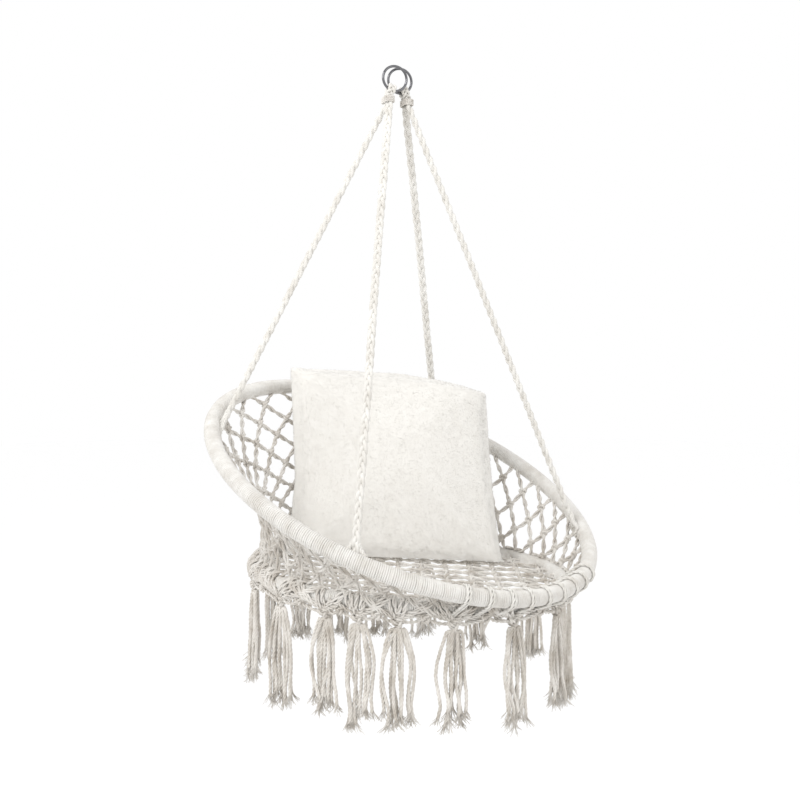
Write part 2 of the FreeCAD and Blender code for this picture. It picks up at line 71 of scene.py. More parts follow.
def polished_steel():
    finish, tree, shader, place = new_finish("polished_steel")
    shader.inputs["Metallic"].default_value = 1.0
    worn = node(tree, "ShaderNodeTexNoise", {"Vector": place, "Scale": 60.0, "Detail": 4.0})
    dull = node(tree, "ShaderNodeMapRange", {"Value": worn.outputs["Fac"], 1: 0.35, 2: 0.7, 3: 0.08, 4: 0.22})
    # Painted reflection: the base colour is kept near black so the wire looks as if it mirrored dark
    # surroundings; the noise varies it at random.
    tone = node(tree, "ShaderNodeValToRGB", {"Fac": worn.outputs["Fac"]})
    tone.color_ramp.elements[0].color = (0.10, 0.10, 0.105, 1)
    tone.color_ramp.elements[1].color = (0.24, 0.24, 0.25, 1)
    fine = node(tree, "ShaderNodeTexNoise", {"Vector": place, "Scale": 1800.0, "Detail": 2.0})
    bump = node(tree, "ShaderNodeBump", {"Height": fine.outputs["Fac"], "Strength": 0.12, "Distance": 0.0002})
    tree.links.new(tone.outputs["Color"], shader.inputs["Base Color"])
    tree.links.new(dull.outputs["Result"], shader.inputs["Roughness"])
    tree.links.new(bump.outputs["Normal"], shader.inputs["Normal"])
    return finish


STEEL = polished_steel()
for ring in ("steel_ring_left", "steel_ring_right"):
    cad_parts[ring].data.materials.clear()
    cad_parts[ring].data.materials.append(STEEL)


# ---- The rope eyes. The bight of each pair of ropes goes over its ring, a broad flat braid of
# cotton that slides round the wire when the chair sways sideways.
def cord_tree():
    """Cord laid or plaited from strands along every line of the mesh it is given."""
    tree = bpy.data.node_groups.new("laid_cord", "GeometryNodeTree")
    sockets = (
        ("Lines", "Geometry", None),
        ("Strands", "Int", 2),
        ("Strand thickness", "Float", 0.0024),
        ("Across", "Float", 0.0012),
        ("Through", "Float", 0.0012),
        ("Crossings", "Int", 1),
        ("Lay length", "Float", 0.02),
        ("Step", "Float", 0.003),
        ("Sides", "Int", 5),
        ("Unevenness", "Float", 0.0),
        ("Broad side", "Vector", (0.0, 0.0, 0.0)),
        ("Finish", "Material", None),
    )
    for name, kind, value in sockets:
        socket = tree.interface.new_socket(name, in_out="INPUT", socket_type="NodeSocket" + kind)
        if value is not None:
            socket.default_value = value
    tree.interface.new_socket("Cord", in_out="OUTPUT", socket_type="NodeSocketGeometry")
    given = node(tree, "NodeGroupInput").outputs
    lines = node(tree, "GeometryNodeMeshToCurve", {"Mesh": given["Lines"]})
    spaced = node(tree, "GeometryNodeResampleCurve",
                  {"Curve": lines.outputs["Curve"], "Length": given["Step"]}, mode="LENGTH")
    strands = node(tree, "GeometryNodeDuplicateElements",
                   {"Geometry": spaced.outputs["Curve"], "Amount": given["Strands"]}, domain="SPLINE")
    length = node(tree, "GeometryNodeSplineParameter").outputs["Length"]
    turns = node(tree, "ShaderNodeMath", {0: length, 1: given["Lay length"]}, operation="DIVIDE")
    share = node(tree, "ShaderNodeMath", {0: strands.outputs["Duplicate Index"], 1: given["Strands"]},
                 operation="DIVIDE")
    turned = node(tree, "ShaderNodeMath", {0: turns.outputs[0], 1: share.outputs[0]}, operation="ADD")
    angle = node(tree, "ShaderNodeMath", {0: turned.outputs[0], 1: math.tau}, operation="MULTIPLY")
    sideways = node(tree, "ShaderNodeMath", {0: angle.outputs[0]}, operation="COSINE")
    faster = node(tree, "ShaderNodeMath", {0: angle.outputs[0], 1: given["Crossings"]}, operation="MULTIPLY")
    inwards = node(tree, "ShaderNodeMath", {0: faster.outputs[0]}, operation="SINE")
    across = node(tree, "ShaderNodeMath", {0: sideways.outputs[0], 1: given["Across"]}, operation="MULTIPLY")
    through = node(tree, "ShaderNodeMath", {0: inwards.outputs[0], 1: given["Through"]}, operation="MULTIPLY")
    ahead = node(tree, "GeometryNodeInputTangent").outputs[0]
    usual = node(tree, "GeometryNodeInputNormal").outputs[0]
    wanted = node(tree, "ShaderNodeVectorMath", {0: given["Broad side"]}, operation="LENGTH")
    chosen = node(tree, "ShaderNodeMath", {0: wanted.outputs["Value"], 1: 0.5}, operation="GREATER_THAN")
    lengthwise = node(tree, "ShaderNodeVectorMath", {0: given["Broad side"], 1: ahead}, operation="PROJECT")
    squared = node(tree, "ShaderNodeVectorMath", {0: given["Broad side"], 1: lengthwise.outputs[0]},
                   operation="SUBTRACT")
    unit = node(tree, "ShaderNodeVectorMath", {0: squared.outputs[0]}, operation="NORMALIZE")
    broad = node(tree, "GeometryNodeSwitch", input_type="VECTOR")
    tree.links.new(chosen.outputs[0], broad.inputs["Switch"])
    tree.links.new(usual, broad.inputs["False"])
    tree.links.new(unit.outputs[0], broad.inputs["True"])
    narrow = node(tree, "ShaderNodeVectorMath", {0: ahead, 1: broad.outputs["Output"]},
                  operation="CROSS_PRODUCT")
    one = node(tree, "ShaderNodeVectorMath", {0: broad.outputs["Output"], "Scale": across.outputs[0]},
               operation="SCALE")
    other = node(tree, "ShaderNodeVectorMath", {0: narrow.outputs[0], "Scale": through.outputs[0]},
                 operation="SCALE")
    laid = node(tree, "ShaderNodeVectorMath", {0: one.outputs[0], 1: other.outputs[0]}, operation="ADD")
    wander = node(tree, "ShaderNodeTexNoise", {"Scale": 70.0, "Detail": 1.0})
    centred = node(tree, "ShaderNodeVectorMath", {0: wander.outputs["Color"], 1: (0.5, 0.5, 0.5)},
                   operation="SUBTRACT")
    uneven = node(tree, "ShaderNodeVectorMath", {0: centred.outputs[0], "Scale": given["Unevenness"]},
                  operation="SCALE")
    shift = node(tree, "ShaderNodeVectorMath", {0: laid.outputs[0], 1: uneven.outputs[0]}, operation="ADD")
    run = node(tree, "GeometryNodeStoreNamedAttribute",
               {"Geometry": strands.outputs["Geometry"], "Name": "along", "Value": length},
               data_type="FLOAT", domain="POINT")
    placed = node(tree, "GeometryNodeSetPosition",
                  {"Geometry": run.outputs["Geometry"], "Offset": shift.outputs[0]})
    half = node(tree, "ShaderNodeMath", {0: given["Strand thickness"], 1: 0.5}, operation="MULTIPLY")
    ring = node(tree, "GeometryNodeCurvePrimitiveCircle",
                {"Resolution": given["Sides"], "Radius": half.outputs[0]})
    spot = node(tree, "GeometryNodeInputPosition").outputs[0]
    level = node(tree, "ShaderNodeVectorMath", {0: spot}, operation="NORMALIZE")
    section = node(tree, "GeometryNodeStoreNamedAttribute",
                   {"Geometry": ring.outputs["Curve"], "Name": "around", "Value": level.outputs[0]},
                   data_type="FLOAT_VECTOR", domain="POINT")
    skin = node(tree, "GeometryNodeCurveToMesh",
                {"Curve": placed.outputs["Geometry"], "Profile Curve": section.outputs["Geometry"],
                 "Fill Caps": True})
    smooth = node(tree, "GeometryNodeSetShadeSmooth", {0: skin.outputs["Mesh"]})
    whole = node(tree, "GeometryNodeRealizeInstances", {"Geometry": smooth.outputs[0]})
    coloured = node(tree, "GeometryNodeSetMaterial",
                    {"Geometry": whole.outputs["Geometry"], "Material": given["Finish"]})
    done = node(tree, "NodeGroupOutput")
    tree.links.new(coloured.outputs["Geometry"], done.inputs["Cord"])
    return tree


CORD = cord_tree()


def worked(thing, tree, inputs):
    """Runs a tree on an object and leaves the object with the plain mesh that comes out."""
    names = {item.name: item.identifier for item in tree.interface.items_tree if item.in_out == "INPUT"}
    work = thing.modifiers.new("work", "NODES")
    work.node_group = tree
    for name, value in inputs.items():
        work[names[name]] = value
    bpy.context.scene.collection.objects.link(thing)
    made = bpy.data.meshes.new_from_object(thing.evaluated_get(bpy.context.evaluated_depsgraph_get()))
    thing.modifiers.clear()
    thing.data = made
    return thing


def lay(name, lines, finish, closed=False, **sizes):
    """One object of cord along the lines, each a list of points."""
    points, runs = [], []
    for line in lines:
        first = len(points)
        points += [tuple(point) for point in line]
        runs += [(spot, spot + 1) for spot in range(first, len(points) - 1)]
        if closed:
            runs.append((len(points) - 1, first))
    mesh = bpy.data.meshes.new(name + "_lines")
    mesh.from_pydata(points, runs, [])
    inputs = {word.replace("_", " ").capitalize(): value for word, value in sizes.items()}
    inputs["Finish"] = finish
    return worked(bpy.data.objects.new(name, mesh), CORD, inputs)


def joined(first, *others):
    with bpy.context.temp_override(active_object=first, object=first, selected_objects=[first, *others],
                                   selected_editable_objects=[first, *others]):
        bpy.ops.object.join()
    return first


def cotton(name, light, shade, spin=0.0011, fuzz=900.0, depth=0.0005):
    """Undyed cotton yarn: slanting spun fibres, soft fuzz, and a warmer painted shade in patches and hollows.
    """
    finish, tree, shader, place = new_finish(name)
    along = node(tree, "ShaderNodeAttribute", attribute_name="along").outputs["Fac"]
    around = node(tree, "ShaderNodeSeparateXYZ",
                  {"Vector": node(tree, "ShaderNodeAttribute", attribute_name="around").outputs["Vector"]})
    angle = node(tree, "ShaderNodeMath", {0: along, 1: math.tau / spin}, operation="MULTIPLY").outputs[0]
    first = node(tree, "ShaderNodeMath", {0: angle}, operation="SINE").outputs[0]
    second = node(tree, "ShaderNodeMath", {0: angle}, operation="COSINE").outputs[0]
    one = node(tree, "ShaderNodeMath", {0: first, 1: around.outputs["X"]}, operation="MULTIPLY").outputs[0]
    fibres = node(tree, "ShaderNodeMath", {0: second, 1: around.outputs["Y"], 2: one},
                  operation="MULTIPLY_ADD")
    hair = node(tree, "ShaderNodeTexNoise", {"Vector": place, "Scale": fuzz, "Detail": 3.0, "Roughness": 0.7})
    height = node(tree, "ShaderNodeMath", {0: fibres.outputs[0], 1: 0.22, 2: hair.outputs["Fac"]},
                  operation="MULTIPLY_ADD")
    bump = node(tree, "ShaderNodeBump", {"Height": height.outputs[0], "Strength": 0.75, "Distance": depth})
    patch = node(tree, "ShaderNodeTexNoise",
                 {"Vector": place, "Scale": 26.0, "Detail": 5.0, "Roughness": 0.65})
    blend = node(tree, "ShaderNodeMath", {0: hair.outputs["Fac"], 1: 0.45, 2: patch.outputs["Fac"]},
                 operation="MULTIPLY_ADD")
    # Painted shade: darker, warmer cotton in random patches and where the fuzz, the bump's height, is low.
    tone = node(tree, "ShaderNodeValToRGB", {"Fac": blend.outputs[0]})
    tone.color_ramp.elements[0].position = 0.48
    tone.color_ramp.elements[0].color = (*shade, 1)
    tone.color_ramp.elements[1].position = 0.86
    tone.color_ramp.elements[1].color = (*light, 1)
    rough = node(tree, "ShaderNodeMapRange", {"Value": hair.outputs["Fac"], 1: 0.2, 2: 0.8, 3: 0.82, 4: 1.0})
    tree.links.new(tone.outputs["Color"], shader.inputs["Base Color"])
    tree.links.new(rough.outputs["Result"], shader.inputs["Roughness"])
    tree.links.new(bump.outputs["Normal"], shader.inputs["Normal"])
    shader.inputs["Specular IOR Level"].default_value = 0.2
    shader.inputs["Sheen Weight"].default_value = 0.25
    shader.inputs["Sheen Roughness"].default_value = 0.5
    return finish


# Lit cotton colour, then its painted shade colour.
BRAID = cotton("braided_cotton", (0.79, 0.775, 0.74), (0.60, 0.57, 0.52))
EYE_REACH, EYE_TURN, EYE_STEPS, EYE_FOOT_DROP, EYE_FOOT_SPREAD = 0.0085, 132, 12, 0.001, 0.0035
RING_SPLAY, RING_SPACING, RING_DROP, WIRE_REACH, BALL_DROP = 21, 0.014, 0.0215, 0.024, 0.0155
ring_across, ring_axis = Vector((0.9026, -0.4305, 0)), Vector((0.4305, 0.9026, 0))
heads = {}
for name, side in (("left", 1), ("right", -1)):
    splay = math.radians(RING_SPLAY)
    down = ring_across * (side * math.sin(splay)) - UP * math.cos(splay)
    wire = ring_axis * (side * RING_SPACING / 2) + down * (RING_DROP + WIRE_REACH)
    ball = wire + down * BALL_DROP
    heads[name] = ball
    bight = [ball + down * EYE_FOOT_DROP - ring_axis * EYE_FOOT_SPREAD]
    for step in range(EYE_STEPS + 1):
        turn = math.radians(-EYE_TURN + 2 * EYE_TURN * step / EYE_STEPS)
        bight.append(wire + (ring_axis * math.sin(turn) - down * math.cos(turn)) * EYE_REACH)
    bight.append(ball + down * EYE_FOOT_DROP + ring_axis * EYE_FOOT_SPREAD)
    eye = lay("eye_braid_" + name, [bight], BRAID, strands=3, strand_thickness=0.0054, across=0.0058,
              through=0.0015, crossings=2, lay_length=0.027, step=0.0012, sides=8,
              broad_side=tuple(ring_axis.cross(down)))
    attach(eye, "rope_heads")
    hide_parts("rope_eye_" + name)


# ---- The whippings. Four tight turns of cord bind the two ropes of each pair together just
# under the eye, so that the eye can't open.
def turn_round(first, second, first_reach, second_reach, axis, steps=28):
    """A closed turn of cord round two rods that lie along the axis."""
    towards = (second - first) - axis * (second - first).dot(axis)
    apart = towards.length
    towards.normalize()
    square = axis.cross(towards)
    lean = math.asin(max(-1.0, min(1.0, (first_reach - second_reach) / apart)))
    points = []
    for step in range(steps):
        turn = math.tau * step / steps
        near = math.cos(turn) < math.sin(lean)
        middle, reach = (first, first_reach) if near else (first + towards * apart, second_reach)
        points.append(middle + (towards * math.cos(turn) + square * math.sin(turn)) * reach)
    return points


ROPE_SPREAD = 0.0077
WHIPPING_TURNS, WHIPPING_DROP, WHIPPING_PITCH, WHIPPING_REACH = 4, 0.0012, 0.0029, 0.0092
# Lit cotton colour, then its painted shade colour.
NET_COTTON = cotton("twisted_cotton", (0.76, 0.735, 0.695), (0.42, 0.375, 0.32))
for name, ball in heads.items():
    turns = []
    for number in range(WHIPPING_TURNS):
        level = ball - UP * (WHIPPING_DROP + number * WHIPPING_PITCH)
        turns.append(turn_round(level - ring_axis * ROPE_SPREAD, level + ring_axis * ROPE_SPREAD,
                                WHIPPING_REACH, WHIPPING_REACH, UP))
    whipping = lay("whipping_" + name, turns, NET_COTTON, closed=True, strands=2, strand_thickness=0.0021,
                   across=0.0008, through=0.0008, lay_length=0.008, step=0.0014, sides=6)
    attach(whipping, "chair")
    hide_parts("rope_whipping_" + name)


# ---- The four hanging ropes. Each is a taut plait of thick white cotton strands, about 15 mm
# broad, from its whipping straight down to the big hoop's inner side.
class Hoop:
    def __init__(self, front, tilt, across, wrapped):
        tilt = math.radians(tilt)
        self.slope = Vector((0, math.cos(tilt), math.sin(tilt)))
        self.axis = Vector((0, -math.sin(tilt), math.cos(tilt)))
        self.radius = across / 2
        self.centre = Vector(front) + self.slope * self.radius
        self.wrapped = wrapped

    def point(self, angle, reach=None):
        reach = self.radius if reach is None else reach
        turn = math.radians(angle)
        return self.centre + SIDE * (reach * math.sin(turn)) - self.slope * (reach * math.cos(turn))

    def tangent(self, angle):
        turn = math.radians(angle)
        return SIDE * math.cos(turn) + self.slope * math.sin(turn)


big = Hoop((0, -0.3565, -0.9824), 28.6, 0.768, 0.0155)
SEAT_TILT = 4.56
small = Hoop((0, -0.3291, -0.9935), SEAT_TILT, 0.588, 0.0135)
ROPE_WIDTH, ROPE_START_DROP, ROPE_GIVE = 0.0152, 0.011, 0.0012
ROPES = {
    "front_left": ("left", -1, 55.7), "front_right": ("right", -1, -55.7),
    "back_left": ("left", 1, 126.3), "back_right": ("right", 1, -126.3),
}
rope_ends = {}
for corner, (side, lane, angle) in ROPES.items():
    start = heads[side] + ring_axis * (lane * ROPE_SPREAD) - UP * ROPE_START_DROP
    end = big.point(angle, big.radius - big.wrapped)
    run = end - start
    give = run.cross(UP).normalized() * ROPE_GIVE
    route = bpy.data.curves.new("rope_route_" + corner, "CURVE")
    route.dimensions = "3D"
    line = route.splines.new("NURBS")
    stops = [start, start + run * 0.12, start + run * 0.42 + give, start + run * 0.75 - give, end]
    line.points.add(len(stops) - 1)
    for point, stop in zip(line.points, stops):
        point.co = (*stop, 1)
    line.order_u = 3
    line.use_endpoint_u = True
    line.resolution_u = 24
    guide = bpy.data.objects.new("rope_guide_" + corner, route)
    path = [point.co.copy() for point in bpy.data.meshes.new_from_object(guide).vertices]
    rope_ends[corner] = (end, run.normalized(), angle)
    rope = lay("rope_" + corner + "_plait", [path], BRAID, strands=3, strand_thickness=0.0072, across=0.0042,
               through=0.0027, crossings=2, lay_length=0.060, step=0.0030, sides=8, unevenness=0.0012,
               broad_side=tuple(run.cross(UP).normalized()))
    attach(rope, "chair")
    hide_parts("rope_" + corner)


# ---- The hitches. Under each rope the braid parts into two tails, which go down on either side
# and round the hoop's inner face, where their ends are tucked under the winding.
HITCH_HEIGHT, HITCH_HALFWAY, HITCH_SPREAD, HITCH_PART, HITCH_CLEAR = 0.030, 0.016, 0.016, 0.002, 0.002
HITCH_TURNS = (70, 110, 150, 185)
for corner, (end, run, angle) in rope_ends.items():
    tails = []
    for way in (-1, 1):
        off = big.tangent(angle) * way
        inside = big.point(angle) - big.centre
        inside.normalize()
        tail = [end - run * HITCH_HEIGHT + off * HITCH_PART,
                end - run * HITCH_HALFWAY + off * HITCH_SPREAD * 0.55]
        for turn in HITCH_TURNS:
            bend = math.radians(turn)
            outwards = big.axis * math.cos(bend) - inside * math.sin(bend)
            tail.append(big.point(angle) + outwards * (big.wrapped + HITCH_CLEAR) + off * HITCH_SPREAD)
        tails.append(tail)
    hitch = lay("hitch_" + corner, tails, BRAID, strands=3, strand_thickness=0.0042, across=0.0022,
                through=0.0016, crossings=2, lay_length=0.022, step=0.0022, sides=7)
    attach(hitch, "chair")
    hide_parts("rope_hitch_" + corner)


# ---- The two hoops. Welded steel tube in a foam sleeve, close wound all the way round with one
# 4 mm cotton cord, whose turns lie a shade aslant.
# Lit cotton colour, then its painted shade colour.
WOUND = cotton("wound_cotton", (0.76, 0.745, 0.715), (0.58, 0.55, 0.505), spin=0.0016, fuzz=700.0,
               depth=0.0004)
TURN_PITCH, WOUND_CORD, HOOP_CORNERS, TURN_STEPS = 0.0037, 0.0042, 256, 14
for name, hoop in (("back_hoop", big), ("seat_hoop", small)):
    circle = [hoop.point(360 * spot / HOOP_CORNERS) for spot in range(HOOP_CORNERS)]
    girth = HOOP_CORNERS * 2 * hoop.radius * math.sin(math.pi / HOOP_CORNERS)
    lay_length = girth / round(girth / TURN_PITCH)
    reach = hoop.wrapped - WOUND_CORD / 2
    winding = lay(name + "_winding", [circle], WOUND, closed=True, strands=1, strand_thickness=WOUND_CORD,
                  across=reach, through=reach, lay_length=lay_length, step=lay_length / TURN_STEPS, sides=5)
    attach(winding, "chair")
    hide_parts(name + "_wrap", name + "_foam", name + "_tube")


# ---- The lashing. Turns of doubled cord bind the hoops together at the front, and each is
# knotted off underneath.
def knot_line(middle, across, drop, facing, corners=16):
    """The closed line of an overhand knot, flattened to its width and height."""
    facing = facing.normalized()
    level = UP.cross(facing)
    level = level.normalized() if level.length > 0.1 else SIDE.copy()
    upwards = facing.cross(level)
    points = []
    for step in range(corners):
        turn = math.tau * step / corners
        wide = (math.sin(turn) + 2 * math.sin(2 * turn)) / 6
        high = (math.cos(turn) - 2 * math.cos(2 * turn)) / 6
        rise = facing * math.sin(3 * turn) * across / 5
        points.append(middle + level * wide * across + upwards * high * drop - rise)
    return points


LASHING_TURNS, LASHING_SPREAD, LASHING_PAIR, LASHING_CLEAR = 9, 52, 0.0026, 0.0022
FOOT_DROP, FOOT_OUT, FOOT_KNOT = 0.006, 0.004, (0.015, 0.012)
lashing_lines, lashing_knots, lashing_feet = [], [], []
for number in range(LASHING_TURNS):
    angle = LASHING_SPREAD * (number / (LASHING_TURNS - 1) - 0.5)
    first, ahead = big.point(angle), big.tangent(angle)
    below = math.degrees(math.asin(first.x / small.radius))
    for step in range(8):
        miss = (small.point(below) - first).dot(ahead)
        below -= math.degrees(miss / (small.radius * small.tangent(below).dot(ahead)))
    second = small.point(below)
    for shift in (-LASHING_PAIR, LASHING_PAIR):
        lashing_lines.append(turn_round(first + ahead * shift, second + ahead * shift,
                                        big.wrapped + LASHING_CLEAR,
                                        small.wrapped + LASHING_CLEAR, ahead, 36))
    outside = (second - small.centre).normalized()
    foot = second - UP * (small.wrapped + FOOT_DROP) + outside * FOOT_OUT
    lashing_feet.append((below, foot))
    lashing_knots.append(knot_line(foot, *FOOT_KNOT, outside))
lashing = lay("front_lashing_cords", lashing_lines, BRAID, closed=True, strands=2, strand_thickness=0.0029,
              across=0.0013, through=0.0011, lay_length=0.020, step=0.0026, sides=6)
lashing = joined(lashing, lay("lashing_knots", lashing_knots, NET_COTTON, closed=True, strands=2,
                              strand_thickness=0.0023, across=0.001, through=0.001, lay_length=0.012,
                              step=0.0024, sides=5))
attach(lashing, "chair")
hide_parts("front_lashing")


# ---- The back net. Doubled cotton cord knotted by hand into a diamond mesh, from the big hoop
# down to the seat hoop. At the back it is pulled wide, so the cells there are broader and flatter.
NET_WAIST, NET_FRONT, BACK_GAP, SIDE_GAP, BACK_DROP, SIDE_DROP = 0.056, 27, 14.5, 9.6, 0.028, 0.045
BACK_STARTS, BACK_BLEND, NET_EDGE, NET_AHEAD, NET_ROWS = 98, 42, 6, 5, 14
HEIGHT_STEPS, LEG_STEPS, LEG_SAG, ANGLE_SHAKE, SHARE_SHAKE = 8, 6, 0.002, 0.5, 0.006
NET_KNOT, NET_KNOT_CORNERS = (0.0165, 0.0155), 12
NET_CORD = {"strands": 2, "strand_thickness": 0.0047, "across": 0.0025, "through": 0.0023,
            "lay_length": 0.055, "step": 0.0036, "sides": 6, "unevenness": 0.004}
rng = np.random.default_rng(11)


def backness(angle):
    """0 at the sides and 1 at the back, where the net is pulled wide and its cells lie flatter."""
    return max(0.0, min(1.0, (abs((angle + 180) % 360 - 180) - BACK_STARTS) / BACK_BLEND))


net_columns = [180 - BACK_GAP / 2]
while net_columns[0] > NET_FRONT + NET_EDGE:
    wider = (BACK_GAP - SIDE_GAP) * backness(net_columns[0] - NET_AHEAD)
    net_columns.insert(0, net_columns[0] - SIDE_GAP - wider)
net_columns += [360 - angle for angle in reversed(net_columns)]


def net_point(angle, share):
    slope = big.slope * (big.radius * (1 - share)) + small.slope * (small.radius * share)
    slope.normalize()
    centre = big.centre.lerp(small.centre, share) - slope * (NET_WAIST * 2 * share * (1 - share))
    reach = big.radius * (1 - share) + small.radius * share - NET_WAIST * 2 * share * (1 - share)
    turn = math.radians(angle)
    return centre + SIDE * (reach * math.sin(turn)) - slope * (reach * math.cos(turn))


def net_height(angle):
    spots = [net_point(angle, step / HEIGHT_STEPS) for step in range(HEIGHT_STEPS + 1)]
    return sum((after - before).length for before, after in zip(spots, spots[1:]))


net_lines, net_knots = [], []
nodes_at = {}


def net_node(column, row):
    """Where a knot of the net lies, or its end on a hoop; the last value says which."""
    if (column, row) not in nodes_at:
        angle = net_columns[column]
        if row % 2:
            after = net_columns[column + 1] if column + 1 < len(net_columns) else angle + SIDE_GAP
            angle = (angle + after) / 2
        step = (SIDE_DROP + (BACK_DROP - SIDE_DROP) * backness(angle)) / net_height(angle)
        share = row * step
        kind = "knot"
        if row == 0:
            share, kind = 0.0, "big"
        elif share > 1 - 0.5 * step:
            share, kind = 1.0, "small"
        if kind == "knot":
            angle += rng.uniform(-ANGLE_SHAKE, ANGLE_SHAKE)
            share += rng.uniform(-SHARE_SHAKE, SHARE_SHAKE)
        nodes_at[(column, row)] = (angle, share, kind)
    return nodes_at[(column, row)]


def leg(first, second):
    """A slack leg of the net between two of its knots."""
    points = []
    for step in range(LEG_STEPS + 1):
        part = step / LEG_STEPS
        angle = first[0] + (second[0] - first[0]) * part
        share = first[1] + (second[1] - first[1]) * part
        spot = net_point(angle, share)
        points.append(spot - UP * (LEG_SAG * math.sin(math.pi * part)))
    return points


seat_ends = set()
for row in range(NET_ROWS):
    for column in range(len(net_columns)):
        here = net_node(column, row)
        if here[2] == "small":
            continue
        for step in (0, 1):
            other_column = column + step if row % 2 else column + step - 1
            if not 0 <= other_column < len(net_columns):
                continue
            there = net_node(other_column, row + 1)
            net_lines.append(leg(here, there))
            if there[2] == "small":
                seat_ends.add(there[0])
        if here[2] == "knot":
            middle = net_point(here[0], here[1])
            facing = Vector((middle.x, middle.y - small.centre.y, 0))
            net_knots.append(knot_line(middle, *NET_KNOT, facing, NET_KNOT_CORNERS))
back_net = lay("back_net_cords", net_lines, NET_COTTON, **NET_CORD)
back_net = joined(back_net, lay("back_net_knots", net_knots, NET_COTTON, closed=True, strands=1,
                                strand_thickness=0.0052, across=0.0, through=0.0, step=0.0030, sides=6))
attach(back_net, "chair")
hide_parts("back_net")


# ---- The seat net. The same doubled cord in a square mesh, drawn tight across the seat hoop and
# knotted at every crossing.
SEAT_CELL, SEAT_STEP, SEAT_SAG, SEAT_DROP, SEAT_SHAKE = 0.047, 0.012, 0.004, 0.0005, 0.002
RIM_TUCK, RIM_EDGE, KNOT_EDGE = 0.002, 0.01, 0.015
SEAT_KNOT, SEAT_KNOT_FACING = (0.0150, 0.0140), Vector((0.05, -0.3, 1))
seat_lines, seat_knots = [], []
rim = small.radius - small.wrapped + RIM_TUCK
reach_cells = int(small.radius / SEAT_CELL) + 1


def seat_point(one, other):
    """A point of the seat net, from its distances along the two ways the cords run."""
    across = (one + other) / math.sqrt(2)
    back = (one - other) / math.sqrt(2)
    sag = SEAT_SAG * max(0.0, 1 - (one * one + other * other) / small.radius ** 2)
    return small.centre + SIDE * across + small.slope * back - small.axis * (sag + SEAT_DROP)


for way in (0, 1):
    for number in range(-reach_cells, reach_cells + 1):
        offset = (number + 0.5) * SEAT_CELL
        if abs(offset) > rim - RIM_EDGE:
            continue
        half = math.sqrt(rim ** 2 - offset ** 2)
        count = max(4, int(2 * half / SEAT_STEP))
        line = []
        for step in range(count + 1):
            run = -half + 2 * half * step / count
            line.append(seat_point(run, offset) if way else seat_point(offset, run))
        seat_lines.append(line)
        if way:
            continue
        for other in range(-reach_cells, reach_cells + 1):
            crossing = (other + 0.5) * SEAT_CELL
            if abs(crossing) < half - KNOT_EDGE:
                one = offset + rng.uniform(-SEAT_SHAKE, SEAT_SHAKE)
                spot = seat_point(one, crossing + rng.uniform(-SEAT_SHAKE, SEAT_SHAKE))
                seat_knots.append(knot_line(spot, *SEAT_KNOT, SEAT_KNOT_FACING, NET_KNOT_CORNERS))
seat_net = lay("seat_net_cords", seat_lines, NET_COTTON, **NET_CORD)
seat_net = joined(seat_net, lay("seat_net_knots", seat_knots, NET_COTTON, closed=True, strands=1,
                                strand_thickness=0.0048, across=0.0, through=0.0, step=0.0030, sides=6))
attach(seat_net, "chair")
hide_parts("seat_net")


# ---- The gathering knots. Under the seat hoop the net's ends come together in swags, and each
# bunch is tied in a fat knot over its tassel.
TASSEL_ANGLES = (-95, -75, -63, -50, -32, -10, 15, 36, 54, 78, 106, 129, 148, 165, 183, 202, 220, 240)
KNOT_OUT, KNOT_DROP, KNOT_WIDTH, KNOT_HEIGHT = 0.008, 0.0268, 0.024, 0.016
SWAG_KNOT, SWAG_SHIFTS, DRAPE_PAIR, DRAPE_CLEAR = (0.018, 0.015), (-6.5, -2.5, 2.5, 6.5), 0.85, 0.0028
DRAPE_STOPS = ((0.05, 62), (0.25, 20), (0.5, -20), (0.8, -55))


def gathering_knot(angle):
    return small.point(angle, small.radius + KNOT_OUT) - UP * KNOT_DROP


order = sorted(angle % 360 for angle in TASSEL_ANGLES)
knot_lines, swags, drapes = [], [], []
for number, angle in enumerate(order):
    middle = gathering_knot(angle)
    facing = Vector((middle.x, middle.y - small.centre.y, 0)).normalized()
    for turn in (-1, 1):
        knot_lines.append(knot_line(middle + facing * 0.002 * turn + UP * 0.0015 * turn, KNOT_WIDTH * 0.92,
                                    KNOT_HEIGHT * (0.85 + 0.12 * turn), facing, 20))
    after = order[(number + 1) % len(order)] + (360 if number == len(order) - 1 else 0)
    between = (angle + after) / 2
    hang = small.point(between, small.radius + 0.010) - UP * (small.wrapped + 0.003)
    for end_angle in (angle, after):
        foot = gathering_knot(end_angle)
        for lift in (0.0, 0.006):
            sag = (hang + foot) / 2 - UP * (0.004 - lift * 0.5)
            swags.append([hang + UP * lift, sag + UP * lift, foot + UP * (0.003 + lift * 0.5)])
    knot_lines.append(knot_line(hang, *SWAG_KNOT, facing, 16))
    for shift in SWAG_SHIFTS:
        top = small.point(angle + shift, small.radius + small.wrapped * 0.75) + UP * small.wrapped * 0.4
        side = small.point(angle + shift * 0.8, small.radius + small.wrapped + 0.002) - UP * 0.008
        swags.append([top, side, middle + UP * 0.006])


def rounded(line, steps=8):
    """A smooth bend through three points."""
    a, b, c = line
    peak = b * 2 - (a + c) / 2
    parts = [step / steps for step in range(steps + 1)]
    return [a * (1 - t) ** 2 + peak * (2 * t * (1 - t)) + c * t ** 2 for t in parts]


def flowing(line, steps=5):
    """A smooth line through all the points."""
    spots = [line[0]]
    for a, b, c, d in zip([line[0], *line], line, line[1:], [*line[2:], line[-1]]):
        for t in (step / steps for step in range(1, steps + 1)):
            spots.append((b * 2 + (c - a) * t + (a * 2 - b * 5 + c * 4 - d) * t * t
                          + (b * 3 - a - c * 3 + d) * t ** 3) / 2)
    return spots


def over_hoop(angle, turn):
    """A point just off the seat hoop's winding, turned from straight outwards up to its top."""
    turn = math.radians(turn)
    outwards = (small.point(angle) - small.centre).normalized()
    aside = outwards * math.cos(turn) + small.axis * math.sin(turn)
    return small.point(angle) + aside * (small.wrapped + DRAPE_CLEAR)


